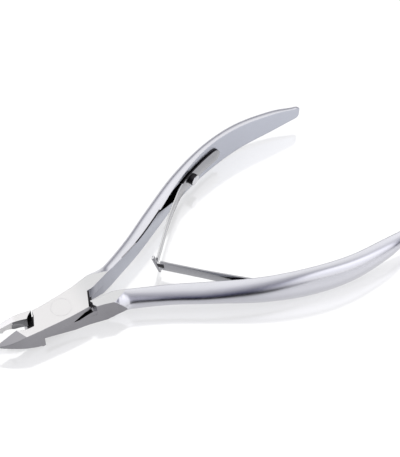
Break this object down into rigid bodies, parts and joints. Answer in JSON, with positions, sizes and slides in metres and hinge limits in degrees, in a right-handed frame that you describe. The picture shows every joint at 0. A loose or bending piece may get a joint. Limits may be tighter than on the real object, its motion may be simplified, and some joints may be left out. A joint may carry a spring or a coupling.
{
  "type": "cuticle nipper",
  "caption": "Stainless steel cuticle nipper with a lap joint, short angled cutting jaws and a pair of interlocking leaf springs between the handles.",
  "frame": {"origin": "on the pivot axis, at the flat underside of the joint", "axes": "+X from the jaws to the handles, +Y towards the handle of the upper lever, +Z along the pivot axis and up"},
  "size_m": [0.101, 0.0546, 0.0093],
  "materials": {
    "forged_steel": "satin stainless handles, ground flat joint faces",
    "spring_steel": "polished flat spring strip",
    "rivet_steel": "mirror-polished rivet heads"
  },
  "bodies": {
    "lower": {"lower_lever": "forged_steel", "pivot_rivet": "rivet_steel", "slotted_spring_root": "spring_steel", "slotted_spring_rivet": "rivet_steel"},
    "upper": {"upper_lever": "forged_steel", "tongue_spring_root": "spring_steel", "tongue_spring_rivet": "rivet_steel"},
    "tongue_blade": {"tongue_spring_blade": "spring_steel"},
    "slotted_blade": {"slotted_spring_blade": "spring_steel"}
  },
  "joints": [
    {"name": "pivot", "type": "hinge", "parent": "lower", "child": "upper", "pos_m": [0, 0, 0.00315], "axis": [0, 0, 1], "range_deg": [-11.3, 0], "stiffness_Nm_per_rad": 1.8},
    {"name": "tongue_bend", "type": "hinge", "parent": "upper", "child": "tongue_blade", "pos_m": [0.0424, 0.01645, 0.00315], "axis": [0, 0, 1], "range_deg": [-9.6, 0.1]},
    {"name": "slotted_bend", "type": "hinge", "parent": "lower", "child": "slotted_blade", "pos_m": [0.0424, -0.01645, 0.00315], "axis": [0, 0, 1], "range_deg": [-0.1, 7.8]}
  ],
  "couplings": [
    {"joint": "tongue_bend", "follows": "pivot", "ratio": 0.83},
    {"joint": "slotted_bend", "follows": "pivot", "ratio": -0.669}
  ]
}
